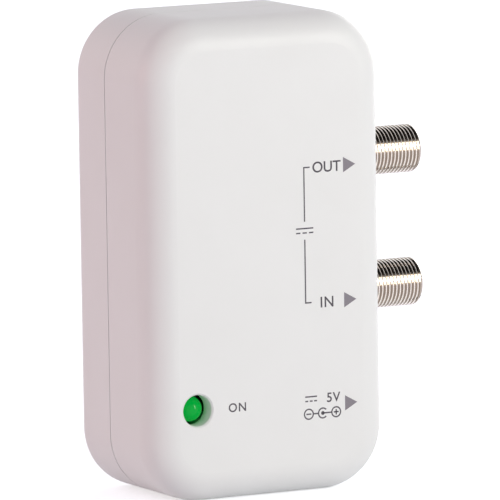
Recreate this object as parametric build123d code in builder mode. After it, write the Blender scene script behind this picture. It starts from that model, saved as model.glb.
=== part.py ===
from build123d import *
import os

# A tv signal amplifier that stands on a shelf or hangs on two wall screws. Sizes are in millimetres.
# The origin is the middle of the underside. +X is to the right, +Y to the back and +Z up, from the front.

# The case, two moulded covers that meet at a seam
case_width = 52.2
case_height = 94.0
front_depth = 18.0
rear_depth = 14.0
corner_radius = 12.3
front_edge_radius = 6.0
rear_edge_radius = 3.2
wall = 1.8
seam_gap = 0.25
tongue_thickness = 0.8
tongue_height = 1.6
tongue_clearance = 0.1
web_thickness = 1.2
web_drop = 4.0
cut_overrun = 1.0

# The two case screws, and the pillars and wells that take them
screw_inset = 8.1
screw_core_radius = 1.05
screw_head_radius = 2.3
screw_head_height = 1.7
screw_length = 10.0
screw_clearance = 0.35
pilot_clearance = 0.05
pilot_end_gap = 1.5
pillar_radius = 3.0
pillar_web_reach = 9.0
well_wall = 1.0
well_floor = 2.5

# The keyholes in the back, and the closed pockets behind them
keyhole_height = 20.0
keyhole_top_gap = 24.0
keyhole_radius = 3.75
keyhole_slot_radius = 2.0
keyhole_travel = 6.0
pocket_side_gap = 0.6
pocket_wall = 1.0
pocket_board_gap = 0.6

# The circuit board, and the ribs of both covers that clamp it
board_thickness = 1.6
board_side_gap = 1.7
board_end_gap = 0.8
rib_length = 6.0
rib_inset = 3.3
rib_side_inset = 4.6
low_rib_inset = 2.2
rib_clearance = 0.1

# The two threaded ports, their case holes and what they hold
axis_ahead_of_seam = 1.0
axis_above_board = 6.5
port_reach = 14.85
port_radius = 4.75
port_neck_radius = 4.3
port_neck_reach = 0.3
port_rim_chamfer = 0.9
port_hole_clearance = 0.25
flange_width = 11.0
flange_thickness = 1.6
spigot_radius = 3.5
spigot_reach = 1.0
spigot_clearance = 0.05
insulator_radius = 3.0
insulator_clearance = 0.05
insulator_recess = 0.3
insulator_front_wall = 1.8
conductor_hole_radius = 0.8
contact_radius = 1.2
contact_bore_radius = 0.6
contact_clearance = 0.05
contact_slit = 0.3
contact_slit_length = 7.0
contact_tail_thickness = 0.3
contact_tail_width = 0.8
contact_tail_reach = 3.0

# The tinplate shield round the signal circuit
shield_sheet = 0.5
shield_rise = 15.0
shield_edge_gap = 0.7
shield_left_gap = 3.1
shield_top_gap = 6.5
shield_tab_width = 3.0
shield_tab_reach = 0.8
shield_tab_clearance = 0.1
partition_sheet = 0.4
partition_clearance = 0.1
partition_arch_radius = 2.2
lid_sheet = 0.4
lid_clearance = 0.1
lid_skirt = 2.2
lid_slit = 0.7
lid_slit_pitch = 11.0
lid_hole_radius = 1.5
lid_rib_gap = 0.2
lid_rib_length = 28.0

# The power jack
jack_height = 17.3
jack_width = 9.0
jack_front_rise = 4.9
jack_block_length = 9.0
jack_nose_radius = 3.4
jack_nose_recess = 0.2
jack_nose_length = 5.6
jack_hole_clearance = 0.3
jack_block_round = 0.6
jack_mouth_radius = 2.1
jack_mouth_depth = 9.5
jack_pin_radius = 0.825
jack_pin_shank_width = 1.1
jack_pin_recess = 1.0
jack_pin_clearance = 0.03
jack_pin_tip_bevel = 0.3
jack_tab_thickness = 0.4
jack_tab_width = 2.2
solder_reach = 1.0
jack_slot_width = 3.2
jack_slot_start = 1.8
jack_slot_length = 6.4
jack_slot_floor = 0.8
jack_spring_thickness = 0.3
jack_spring_inset = 0.5
jack_spring_clearance = 0.3
jack_spring_drop = 1.2
jack_spring_press = 0.25
jack_spring_crest_share = 0.6
board_hole_clearance = 0.15

# The power lamp
led_inset = 9.9
led_height = 18.4
led_radius = 2.5
led_length = 8.6
led_recess = 1.4
led_flange_radius = 2.9
led_flange_thickness = 1.0
led_hole_radius = 3.1
led_hole_depth = 3.6
led_hole_bevel = 0.3
led_collar_wall = 1.0
led_lead = 0.5
led_lead_pitch = 2.54
led_lead_clearance = 0.1
led_spacer_width = 4.6

# The parts of the supply, along the foot of the board
power_strip = 5.0
supply_row_gap = 3.9
capacitor_radius = 2.5
capacitor_length = 7.0
choke_width = 5.4
choke_waist_radius = 1.4
choke_length = 6.0
choke_flange = 1.0
choke_wire_depth = 1.0
choke_clearance = 0.05
regulator_length = 4.5
regulator_width = 2.5
regulator_thickness = 1.5
regulator_lead_length = 1.0
regulator_lead_width = 0.5
regulator_lead_thickness = 0.4
regulator_lead_pitch = 1.5
regulator_lead_pairs = 3

# The parts of the signal circuit, inside the shield
amplifier_length = 3.0
amplifier_width = 1.6
amplifier_thickness = 1.1
amplifier_lead_length = 0.7
amplifier_lead_width = 0.4
amplifier_lead_thickness = 0.25
amplifier_lead_pitch = 1.9
amplifier_lead_pairs = 2
chip_capacitor_length = 2.0
chip_capacitor_width = 1.25
chip_capacitor_thickness = 0.9
chip_resistor_length = 1.6
chip_resistor_width = 0.8
chip_resistor_thickness = 0.5
chip_pitch = 3.4
chip_capacitor_count = 4
chip_resistor_count = 3
coil_radius = 2.0
coil_wire = 0.5
coil_length = 4.0
core_length = 7.0
core_height = 4.2
core_depth = 6.0
core_hole_radius = 0.9
core_hole_pitch = 3.0
core_wire_depth = 0.6
core_wire_band = 1.1
core_wire_clearance = 0.15

# Places across the strip between the lamp and the jack, as shares of its width
low_rib_place_share = 0.17
choke_place_share = 0.18
capacitor_place_shares = (0.50, 0.79)
regulator_place_share = 0.62

# Places in the two halves of the shield, as shares of a half's width and height
amplifier_place_shares = (0.52, 0.30)
coil_place_shares = (0.70, 0.72)
core_place_shares = (0.30, 0.40)
capacitor_row_shares = (0.60, 0.50)
resistor_row_shares = (0.55, 0.80)
port_place_shares = (0.224, 0.774)

# Planes and edges of the case
case_depth = front_depth + rear_depth
front_y = -case_depth / 2
rear_y = case_depth / 2
seam_y = front_y + front_depth
front_floor_y = front_y + wall
rear_floor_y = rear_y - wall
rim_y = seam_y + seam_gap
# The front hollow's bevel leaves the wall its full thickness in the middle of the soft edge
front_hollow_bevel = (2 - 2**0.5) * (front_edge_radius - wall)
side_x = case_width / 2
inner_x = side_x - wall
middle_z = case_height / 2
top_floor_z = case_height - wall

# The keyholes keep their distances from the ends of the case
keyhole_spacing = case_height - keyhole_height - keyhole_top_gap
pocket_width = 2 * (keyhole_radius + pocket_side_gap)

# Screws stand on the middle line, at equal distances from the ends of the case
screw_places = [(0, screw_inset), (0, case_height - screw_inset)]
well_radius = screw_head_radius + screw_clearance
well_outer_radius = well_radius + well_wall
screw_seat_y = seam_y + well_floor
pilot_radius = screw_core_radius + pilot_clearance
screw_end_y = screw_seat_y - screw_length

# The board lies behind the axis of the ports, between the upper and the lower wells
axis_y = seam_y - axis_ahead_of_seam
board_front_y = axis_y + axis_above_board
board_rear_y = board_front_y + board_thickness
solder_y = board_rear_y + solder_reach
board_width = 2 * (inner_x - board_side_gap)
board_bottom_z = screw_inset + well_outer_radius + board_end_gap
board_top_z = case_height - board_bottom_z
board_length = board_top_z - board_bottom_z

# The jack starts at the right side of the case and ends over the foot of the board
jack_tip_x = side_x - jack_nose_recess
jack_face_x = jack_tip_x - jack_nose_length
jack_back_x = jack_face_x - jack_block_length
jack_front_y = axis_y - jack_front_rise
jack_mouth_floor_x = jack_tip_x - jack_mouth_depth
jack_shank_hole = jack_pin_shank_width + 2 * jack_pin_clearance
jack_slot_x = jack_back_x + jack_slot_start
jack_slot_top_y = axis_y + jack_pin_radius + jack_slot_floor
jack_spring_width = jack_slot_width - 2 * jack_spring_clearance
spring_tail_x = jack_slot_x + jack_spring_inset
spring_end_x = jack_slot_x + jack_slot_length - jack_spring_inset
spring_crest_x = spring_tail_x + jack_spring_crest_share * (spring_end_x - spring_tail_x)
spring_crest_y = axis_y + jack_mouth_radius - jack_spring_press
spring_low_y = spring_crest_y + jack_spring_drop

# The lamp stands over the foot of the board, its tip a little behind the front face
led_x = led_inset - side_x
led_tip_y = front_y + led_recess
led_base_y = led_tip_y + led_length
board_lead_hole = led_lead + 2 * board_hole_clearance
spacer_lead_hole = led_lead + 2 * led_lead_clearance
led_lead_places = [(led_x + side * led_lead_pitch / 2, led_height) for side in (-1, 1)]

# The strip of the supply parts, between the lamp and the jack
strip_left_x = led_x + led_flange_radius
strip_width = jack_back_x - jack_tab_thickness - strip_left_x
supply_row_z = jack_height + jack_width / 2 + power_strip - supply_row_gap
regulator_z = board_bottom_z + rib_inset


def across_strip(share):
    """The x of a place on the strip between the lamp and the jack."""
    return strip_left_x + share * strip_width


# The board rests on four ribs of the rear cover, and three ribs of the front cover hold it down
upper_rib_z = board_top_z - rib_inset
rib_x = board_width / 2 - rib_side_inset
low_rib_place = (across_strip(low_rib_place_share), board_bottom_z + low_rib_inset)
rest_rib_places = [
    (-rib_x, upper_rib_z),
    (rib_x, upper_rib_z),
    low_rib_place,
    (-rib_x, led_height + led_flange_radius + rib_inset),
]
clamp_rib_places = rest_rib_places[:3]

# The shield's outline and its two halves
shield_right_x = board_width / 2 - shield_edge_gap
shield_left_x = shield_left_gap - board_width / 2
shield_bottom_z = jack_height + jack_width / 2 + power_strip
shield_top_z = board_top_z - shield_top_gap
shield_width = shield_right_x - shield_left_x
shield_length = shield_top_z - shield_bottom_z
shield_x = (shield_left_x + shield_right_x) / 2
shield_z = (shield_bottom_z + shield_top_z) / 2
shield_front_y = board_front_y - shield_rise
lid_front_y = shield_front_y - lid_sheet
half_length = shield_length / 2

# The ports sit on the shield's right side
input_z, output_z = [shield_bottom_z + share * shield_length for share in port_place_shares]
port_names = ("output", "input")
port_heights = dict(zip(port_names, (output_z, input_z)))
flange_x = shield_right_x + flange_thickness
port_tip_x = side_x + port_reach
thread_start_x = side_x + port_neck_reach
port_hole_radius = port_radius + port_hole_clearance
jack_hole_radius = jack_nose_radius + jack_hole_clearance
side_holes = [(output_z, port_hole_radius), (input_z, port_hole_radius), (jack_height, jack_hole_radius)]
insulator_face_x = port_tip_x - insulator_recess
contact_face_x = insulator_face_x - insulator_front_wall
spigot_back_x = shield_right_x - shield_sheet - spigot_reach
contact_tail_x = spigot_back_x - contact_tail_reach
loop_bore_height = core_height + 2 * core_wire_clearance


def in_half(half, shares):
    """A place in one half of the shield, the lower half first, by its shares of the half's sides."""
    return (
        shield_left_x + shares[0] * shield_width,
        shield_bottom_z + (half + shares[1]) * half_length,
    )


# Places on the board of the parts of the supply and of the signal circuit
capacitor_places = [(across_strip(share), supply_row_z) for share in capacitor_place_shares]
choke_place = (across_strip(choke_place_share), supply_row_z)
regulator_place = (across_strip(regulator_place_share), regulator_z)
amplifier_place = in_half(0, amplifier_place_shares)
core_place = in_half(0, core_place_shares)
coil_places = [in_half(half, coil_place_shares) for half in range(2)]
capacitor_row_places = [in_half(half, capacitor_row_shares) for half in range(2)]
resistor_row_places = [in_half(half, resistor_row_shares) for half in range(2)]


def across(y):
    """A plane across the case at depth y, seen from the front. Positive extrusions go towards the front."""
    return Plane.XZ.offset(-y)


def beside(x):
    """A plane along the case at width x. Its own x is the case's depth, and extrusions go to the right."""
    return Plane.YZ.offset(x)


def case_outline(inset, mode=Mode.ADD):
    """The case's rounded outline, drawn inside its outer face by the inset."""
    with Locations((0, middle_z)):
        RectangleRounded(case_width - 2 * inset, case_height - 2 * inset, corner_radius - inset, mode=mode)


def pillar_webs():
    """The thin webs that tie each screw pillar to the end of the case and stiffen the floor beside it."""
    for x, z in screw_places:
        wall_z = top_floor_z if z > middle_z else wall
        with Locations((x, z)):
            Rectangle(2 * pillar_web_reach, web_thickness)
        with Locations((x, (z + wall_z) / 2)):
            Rectangle(web_thickness, abs(wall_z - z))


def shield_tabs(growth):
    """The shield's eight soldered tabs, or with a growth the slots that take them."""
    long_side = shield_tab_width + 2 * growth
    short_side = shield_sheet + 2 * growth
    end_z = (shield_length - shield_sheet) / 2
    end_x = (shield_width - shield_sheet) / 2
    with Locations((shield_x, shield_z)):
        with GridLocations(shield_width / 2, 2 * end_z, 2, 2):
            Rectangle(long_side, short_side)
        with GridLocations(2 * end_x, shield_length / 2, 2, 2):
            Rectangle(short_side, long_side)


def keyhole_centres(lift):
    """The two keyholes' entry circles, or points above them by the lift."""
    return [(0, keyhole_height + lift), (0, keyhole_height + keyhole_spacing + lift)]


os.makedirs("parts", exist_ok=True)

# The hollow of the front cover, with the pillar webs left standing in it
with BuildPart() as front_hollow:
    with BuildSketch(across(seam_y)):
        case_outline(wall)
    extrude(amount=front_depth - wall)
    chamfer(front_hollow.faces().sort_by(Axis.Y)[0].edges(), front_hollow_bevel)
    with BuildSketch(across(seam_y - web_drop)):
        pillar_webs()
    extrude(amount=front_depth - wall - web_drop, mode=Mode.SUBTRACT)

# The front cover, with its rebated rim, screw pillars, lamp collar and the ribs over shield and board
with BuildPart() as front_cover:
    with BuildSketch(across(seam_y)):
        case_outline(0)
    extrude(amount=front_depth)
    fillet(front_cover.faces().sort_by(Axis.Y)[0].edges(), front_edge_radius)
    add(front_hollow.part, mode=Mode.SUBTRACT)
    with BuildSketch(across(seam_y)):
        case_outline(wall - tongue_thickness - tongue_clearance)
        case_outline(wall, Mode.SUBTRACT)
    extrude(amount=tongue_height + tongue_clearance, mode=Mode.SUBTRACT)
    with BuildSketch(across(seam_y)):
        with Locations(*screw_places):
            Circle(pillar_radius)
    extrude(amount=front_depth - wall)
    with BuildSketch(across(seam_y)):
        with Locations(*screw_places):
            Circle(pilot_radius)
    extrude(amount=seam_y - screw_end_y + pilot_end_gap, mode=Mode.SUBTRACT)
    with BuildSketch(across(front_y + led_hole_depth)):
        with Locations((led_x, led_height)):
            Circle(led_hole_radius + led_collar_wall)
    extrude(amount=led_hole_depth - wall)
    with BuildSketch(across(front_y + led_hole_depth)):
        with Locations((led_x, led_height)):
            Circle(led_hole_radius)
    extrude(amount=led_hole_depth, mode=Mode.SUBTRACT)
    front_face = front_cover.faces().filter_by(Axis.Y).sort_by(Axis.Y)[0]
    chamfer(front_face.inner_wires()[0].edges(), led_hole_bevel)
    with BuildSketch(across(lid_front_y - lid_rib_gap)):
        with Locations((shield_x, shield_z)):
            with GridLocations(0, half_length, 1, 2):
                Rectangle(lid_rib_length, web_thickness)
    extrude(amount=lid_front_y - lid_rib_gap - front_floor_y)
    with BuildSketch(across(board_front_y - rib_clearance)):
        with Locations(*clamp_rib_places):
            Rectangle(rib_length, web_thickness)
    extrude(amount=board_front_y - rib_clearance - front_floor_y)
    with BuildSketch(beside(inner_x - cut_overrun)):
        for z, radius in side_holes:
            with Locations((axis_y, z)):
                Circle(radius)
            with Locations(((axis_y + seam_y + cut_overrun) / 2, z)):
                Rectangle(axis_ahead_of_seam + cut_overrun, 2 * radius)
    extrude(amount=wall + 2 * cut_overrun, mode=Mode.SUBTRACT)
front_cover.part.label = "front_cover"
export_step(front_cover.part, "parts/front_cover.step")

# The hollow of the rear cover, with the pillar webs left standing in it
with BuildPart() as rear_hollow:
    with BuildSketch(across(rear_floor_y)):
        case_outline(wall)
    extrude(amount=rear_floor_y - rim_y)
    with BuildSketch(across(rear_floor_y)):
        pillar_webs()
    extrude(amount=rear_floor_y - rim_y - web_drop, mode=Mode.SUBTRACT)

# The rear cover, with its tongue, screw wells, keyhole pockets and the ribs that the board rests on
with BuildPart() as rear_cover:
    with BuildSketch(across(rim_y)):
        case_outline(0)
    extrude(amount=rim_y - rear_y)
    fillet(rear_cover.faces().sort_by(Axis.Y)[-1].edges(), rear_edge_radius)
    add(rear_hollow.part, mode=Mode.SUBTRACT)
    with BuildSketch(across(rim_y)):
        case_outline(wall - tongue_thickness)
        case_outline(wall, Mode.SUBTRACT)
    extrude(amount=seam_gap + tongue_height)
    with BuildSketch(across(rear_floor_y)):
        with Locations(*screw_places):
            Circle(well_outer_radius)
    extrude(amount=rear_floor_y - seam_y)
    with BuildSketch(across(rear_y + cut_overrun)):
        with Locations(*screw_places):
            Circle(well_radius)
    extrude(amount=rear_y + cut_overrun - screw_seat_y, mode=Mode.SUBTRACT)
    with BuildSketch(across(screw_seat_y + cut_overrun)):
        with Locations(*screw_places):
            Circle(screw_core_radius + screw_clearance)
    extrude(amount=well_floor + 2 * cut_overrun, mode=Mode.SUBTRACT)
    with BuildSketch(across(rear_floor_y)):
        with Locations(*keyhole_centres(keyhole_travel / 2)):
            Rectangle(pocket_width + 2 * pocket_wall, pocket_width + keyhole_travel + 2 * pocket_wall)
    extrude(amount=rear_floor_y - board_rear_y - pocket_board_gap)
    with BuildSketch(across(rear_floor_y)):
        with Locations(*keyhole_centres(keyhole_travel / 2)):
            Rectangle(pocket_width, pocket_width + keyhole_travel)
    extrude(amount=rear_floor_y - board_rear_y - pocket_board_gap - pocket_wall, mode=Mode.SUBTRACT)
    with BuildSketch(across(rear_y + cut_overrun)):
        with Locations(*keyhole_centres(0)):
            Circle(keyhole_radius)
        with Locations(*keyhole_centres(keyhole_travel / 2)):
            SlotCenterToCenter(keyhole_travel, 2 * keyhole_slot_radius, rotation=90)
    extrude(amount=wall + cut_overrun, mode=Mode.SUBTRACT)
    with BuildSketch(across(rear_floor_y)):
        with Locations(*rest_rib_places):
            Rectangle(rib_length, web_thickness)
    extrude(amount=rear_floor_y - board_rear_y)
    with BuildSketch(beside(inner_x - cut_overrun)):
        for z, radius in side_holes:
            with Locations((axis_y, z)):
                Circle(radius)
    extrude(amount=wall + 2 * cut_overrun, mode=Mode.SUBTRACT)
rear_cover.part.label = "rear_cover"
export_step(rear_cover.part, "parts/rear_cover.step")

# The case screws, with pan heads at the bottom of the wells
with BuildPart() as case_screws:
    with BuildSketch(across(screw_seat_y)):
        with Locations(*screw_places):
            Circle(screw_head_radius)
    extrude(amount=-screw_head_height)
    with BuildSketch(across(screw_seat_y)):
        with Locations(*screw_places):
            Circle(screw_core_radius)
    extrude(amount=screw_length)
case_screws.part.label = "case_screws"
export_step(case_screws.part, "parts/case_screws.step")

# The circuit board, slotted for what is soldered to it
with BuildPart() as main_board:
    with BuildSketch(across(board_rear_y)):
        with Locations((0, middle_z)):
            Rectangle(board_width, board_length)
        with Locations(*led_lead_places):
            Rectangle(board_lead_hole, board_lead_hole, mode=Mode.SUBTRACT)
    extrude(amount=board_thickness)
    with BuildSketch(across(board_rear_y)):
        shield_tabs(shield_tab_clearance)
    extrude(amount=board_thickness, mode=Mode.SUBTRACT)
    with BuildSketch(across(board_rear_y)):
        with Locations((jack_back_x - jack_tab_thickness / 2, jack_height)):
            Rectangle(
                jack_tab_thickness + 2 * board_hole_clearance,
                jack_tab_width + 2 * board_hole_clearance,
            )
        with Locations((spring_tail_x, jack_height)):
            Rectangle(
                jack_spring_thickness + 2 * board_hole_clearance,
                jack_spring_width + 2 * board_hole_clearance,
            )
    extrude(amount=board_thickness, mode=Mode.SUBTRACT)
main_board.part.label = "main_board"
export_step(main_board.part, "parts/main_board.step")

# The shield's frame, bent from one strip, with soldered tabs and a hole for the spigot of each port
with BuildPart() as shield_frame:
    with BuildSketch(across(board_front_y)):
        with Locations((shield_x, shield_z)):
            Rectangle(shield_width, shield_length)
            Rectangle(shield_width - 2 * shield_sheet, shield_length - 2 * shield_sheet, mode=Mode.SUBTRACT)
    extrude(amount=shield_rise)
    with BuildSketch(across(board_front_y)):
        shield_tabs(0)
    extrude(amount=-(board_thickness + shield_tab_reach))
    with BuildSketch(beside(shield_right_x + cut_overrun)):
        with Locations((axis_y, output_z), (axis_y, input_z)):
            Circle(spigot_radius + spigot_clearance)
    extrude(amount=-(shield_sheet + 2 * cut_overrun), mode=Mode.SUBTRACT)
shield_frame.part.label = "shield_frame"
export_step(shield_frame.part, "parts/shield_frame.step")

# The partition between the output half and the input half, with an arch over the track on the board
with BuildPart() as shield_partition:
    with BuildSketch(Plane.XY.offset(shield_z - partition_sheet / 2)):
        with Locations((shield_x, (board_front_y + shield_front_y) / 2)):
            Rectangle(shield_width - 2 * (shield_sheet + partition_clearance), shield_rise)
        with Locations((shield_x, board_front_y)):
            Circle(partition_arch_radius, mode=Mode.SUBTRACT)
    extrude(amount=partition_sheet)
shield_partition.part.label = "shield_partition"
export_step(shield_partition.part, "parts/shield_partition.step")

# The shield's lid, whose slit skirt springs over the frame, with a hole over each tuning coil
with BuildPart() as shield_lid:
    with BuildSketch(across(shield_front_y + lid_skirt)):
        with Locations((shield_x, shield_z)):
            Rectangle(
                shield_width + 2 * (lid_clearance + lid_sheet),
                shield_length + 2 * (lid_clearance + lid_sheet),
            )
    extrude(amount=lid_skirt + lid_sheet)
    with BuildSketch(across(shield_front_y + lid_skirt)):
        with Locations((shield_x, shield_z)):
            Rectangle(shield_width + 2 * lid_clearance, shield_length + 2 * lid_clearance)
    extrude(amount=lid_skirt, mode=Mode.SUBTRACT)
    with BuildSketch(across(shield_front_y + lid_skirt)):
        with Locations((shield_x, shield_z)):
            with GridLocations(lid_slit_pitch, 0, int(shield_width / lid_slit_pitch), 1):
                Rectangle(lid_slit, shield_length + 2 * cut_overrun)
            with GridLocations(0, lid_slit_pitch, 1, int(shield_length / lid_slit_pitch)):
                Rectangle(shield_width + 2 * cut_overrun, lid_slit)
    extrude(amount=lid_skirt - lid_sheet, mode=Mode.SUBTRACT)
    with BuildSketch(across(shield_front_y)):
        with Locations(*coil_places):
            Circle(lid_hole_radius)
    extrude(amount=lid_sheet, mode=Mode.SUBTRACT)
shield_lid.part.label = "shield_lid"
export_step(shield_lid.part, "parts/shield_lid.step")

# Each port is a turned body with a square flange, a moulded insulator and a sprung contact with a bent tail
for name, height in port_heights.items():
    port_plane = Plane(origin=(0, axis_y, height), x_dir=(1, 0, 0), z_dir=(0, -1, 0))
    port_axis = Axis((0, axis_y, height), (1, 0, 0))

    with BuildPart() as connector:
        with BuildSketch(port_plane):
            Polygon(
                (spigot_back_x, insulator_radius + insulator_clearance),
                (spigot_back_x, spigot_radius),
                (shield_right_x, spigot_radius),
                (shield_right_x, port_neck_radius),
                (thread_start_x, port_neck_radius),
                (thread_start_x, port_radius),
                (port_tip_x - port_rim_chamfer, port_radius),
                (port_tip_x, port_radius - port_rim_chamfer),
                (port_tip_x, insulator_radius + insulator_clearance),
                align=None,
            )
        revolve(axis=port_axis)
        with BuildSketch(beside(shield_right_x)):
            with Locations((axis_y, height)):
                Rectangle(flange_width, flange_width)
                Circle(spigot_radius, mode=Mode.SUBTRACT)
        extrude(amount=flange_thickness)
    connector.part.label = f"{name}_connector"
    export_step(connector.part, f"parts/{name}_connector.step")

    with BuildPart() as insulator:
        with BuildSketch(port_plane):
            Polygon(
                (spigot_back_x, insulator_radius),
                (insulator_face_x, insulator_radius),
                (insulator_face_x, conductor_hole_radius),
                (contact_face_x, conductor_hole_radius),
                (contact_face_x, contact_radius + contact_clearance),
                (spigot_back_x, contact_radius + contact_clearance),
                align=None,
            )
        revolve(axis=port_axis)
    insulator.part.label = f"{name}_insulator"
    export_step(insulator.part, f"parts/{name}_insulator.step")

    with BuildPart() as contact:
        with BuildSketch(beside(flange_x)):
            with Locations((axis_y, height)):
                Circle(contact_radius)
        extrude(amount=contact_face_x - flange_x)
        with BuildSketch(beside(contact_face_x)):
            with Locations((axis_y, height)):
                Circle(contact_bore_radius)
        extrude(amount=-contact_slit_length - contact_bore_radius, mode=Mode.SUBTRACT)
        with BuildSketch(beside(contact_face_x)):
            with Locations((axis_y, height)):
                Rectangle(2 * contact_radius + cut_overrun, contact_slit)
        extrude(amount=-contact_slit_length, mode=Mode.SUBTRACT)
        with BuildSketch(Plane.XY.offset(height - contact_tail_width / 2)):
            with BuildLine():
                Polyline(
                    (flange_x, axis_y),
                    (contact_tail_x, axis_y),
                    (contact_tail_x, board_front_y),
                )
            trace(line_width=contact_tail_thickness)
        extrude(amount=contact_tail_width)
    contact.part.label = f"{name}_contact"
    export_step(contact.part, f"parts/{name}_contact.step")

# The power jack's moulded body, open below for its spring
with BuildPart() as dc_jack_body:
    with BuildSketch(beside(jack_back_x)):
        with Locations(((jack_front_y + board_front_y) / 2, jack_height)):
            Rectangle(board_front_y - jack_front_y, jack_width)
    extrude(amount=jack_block_length)
    fillet(dc_jack_body.edges().filter_by(Axis.X).group_by(Axis.Y)[0], jack_block_round)
    with BuildSketch(beside(jack_face_x)):
        with Locations((axis_y, jack_height)):
            Circle(jack_nose_radius)
    extrude(amount=jack_nose_length)
    with BuildSketch(beside(jack_tip_x)):
        with Locations((axis_y, jack_height)):
            Circle(jack_mouth_radius)
    extrude(amount=-jack_mouth_depth, mode=Mode.SUBTRACT)
    with BuildSketch(beside(jack_mouth_floor_x)):
        with Locations((axis_y, jack_height)):
            Rectangle(jack_shank_hole, jack_shank_hole)
    extrude(amount=jack_back_x - jack_mouth_floor_x, mode=Mode.SUBTRACT)
    with BuildSketch(beside(jack_slot_x)):
        with Locations(((jack_slot_top_y + board_front_y) / 2, jack_height)):
            Rectangle(board_front_y - jack_slot_top_y, jack_slot_width)
    extrude(amount=jack_slot_length, mode=Mode.SUBTRACT)
dc_jack_body.part.label = "dc_jack_body"
export_step(dc_jack_body.part, "parts/dc_jack_body.step")

# The jack's centre pin, whose square shank is riveted to the tab that is soldered behind it
with BuildPart() as dc_jack_pin:
    with BuildSketch(beside(jack_mouth_floor_x)):
        with Locations((axis_y, jack_height)):
            Circle(jack_pin_radius)
    extrude(amount=jack_tip_x - jack_pin_recess - jack_mouth_floor_x)
    chamfer(dc_jack_pin.faces().sort_by(Axis.X)[-1].edges(), jack_pin_tip_bevel)
    with BuildSketch(beside(jack_back_x)):
        with Locations((axis_y, jack_height)):
            Rectangle(jack_pin_shank_width, jack_pin_shank_width)
    extrude(amount=jack_mouth_floor_x - jack_back_x)
    with BuildSketch(beside(jack_back_x)):
        with Locations(((axis_y - jack_tab_width / 2 + solder_y) / 2, jack_height)):
            Rectangle(solder_y - axis_y + jack_tab_width / 2, jack_tab_width)
    extrude(amount=-jack_tab_thickness)
dc_jack_pin.part.label = "dc_jack_pin"
export_step(dc_jack_pin.part, "parts/dc_jack_pin.step")

# The jack's spring, a bent strip whose crest rubs on the plug's sleeve
with BuildPart() as dc_jack_spring:
    with BuildSketch(Plane.XY.offset(jack_height - jack_spring_width / 2)):
        with BuildLine():
            Polyline(
                (spring_tail_x, solder_y),
                (spring_tail_x, spring_low_y),
                (spring_crest_x, spring_crest_y + jack_spring_thickness / 2),
                (spring_end_x, spring_low_y),
            )
        trace(line_width=jack_spring_thickness)
    extrude(amount=jack_spring_width)
dc_jack_spring.part.label = "dc_jack_spring"
export_step(dc_jack_spring.part, "parts/dc_jack_spring.step")

# The lamp's clear green body, with its foot ring and dome
with BuildPart() as power_led:
    with BuildSketch(across(led_base_y)):
        with Locations((led_x, led_height)):
            Circle(led_flange_radius)
    extrude(amount=led_flange_thickness)
    with BuildSketch(across(led_base_y)):
        with Locations((led_x, led_height)):
            Circle(led_radius)
    extrude(amount=led_length - led_radius)
    with Locations((led_x, led_tip_y + led_radius, led_height)):
        Sphere(led_radius)
power_led.part.label = "power_led"
export_step(power_led.part, "parts/power_led.step")

# The lamp's two legs, down to the solder behind the board
with BuildPart() as led_leads:
    with BuildSketch(across(led_base_y)):
        with Locations(*led_lead_places):
            Rectangle(led_lead, led_lead)
    extrude(amount=led_base_y - solder_y)
led_leads.part.label = "led_leads"
export_step(led_leads.part, "parts/led_leads.step")

# The spacer that holds the lamp up at the front of the case
with BuildPart() as led_spacer:
    with BuildSketch(across(board_front_y)):
        with Locations((led_x, led_height)):
            Rectangle(led_spacer_width, led_spacer_width)
        with Locations(*led_lead_places):
            Rectangle(spacer_lead_hole, spacer_lead_hole, mode=Mode.SUBTRACT)
    extrude(amount=board_front_y - led_base_y)
led_spacer.part.label = "led_spacer"
export_step(led_spacer.part, "parts/led_spacer.step")

# The smoothing capacitors, cans that stand on the board
with BuildPart() as electrolytic_capacitors:
    with BuildSketch(across(board_front_y)):
        with Locations(*capacitor_places):
            Circle(capacitor_radius)
    extrude(amount=capacitor_length)
electrolytic_capacitors.part.label = "electrolytic_capacitors"
export_step(electrolytic_capacitors.part, "parts/electrolytic_capacitors.step")

# The choke's core, a round waist between two square flanges
with BuildPart() as choke_core:
    with BuildSketch(across(board_front_y)):
        with Locations(choke_place):
            Rectangle(choke_width, choke_width)
    extrude(amount=choke_length)
    with BuildSketch(across(board_front_y - choke_flange)):
        with Locations(choke_place):
            Rectangle(choke_width, choke_width)
            Circle(choke_waist_radius, mode=Mode.SUBTRACT)
    extrude(amount=choke_length - 2 * choke_flange, mode=Mode.SUBTRACT)
choke_core.part.label = "choke_core"
export_step(choke_core.part, "parts/choke_core.step")

# The choke's winding, round the core's waist
with BuildPart() as choke_winding:
    with BuildSketch(across(board_front_y - choke_flange)):
        with Locations(choke_place):
            Circle(choke_waist_radius + choke_clearance + choke_wire_depth)
            Circle(choke_waist_radius + choke_clearance, mode=Mode.SUBTRACT)
    extrude(amount=choke_length - 2 * choke_flange)
choke_winding.part.label = "choke_winding"
export_step(choke_winding.part, "parts/choke_winding.step")

# The regulator that steadies the supply, with three flat leads on each side
with BuildPart() as voltage_regulator:
    with BuildSketch(across(board_front_y)):
        with Locations(regulator_place):
            Rectangle(regulator_length, regulator_width)
    extrude(amount=regulator_thickness)
    with BuildSketch(across(board_front_y)):
        with Locations(regulator_place):
            with GridLocations(regulator_lead_pitch, 0, regulator_lead_pairs, 1):
                Rectangle(regulator_lead_width, regulator_width + 2 * regulator_lead_length)
    extrude(amount=regulator_lead_thickness)
voltage_regulator.part.label = "voltage_regulator"
export_step(voltage_regulator.part, "parts/voltage_regulator.step")

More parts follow.
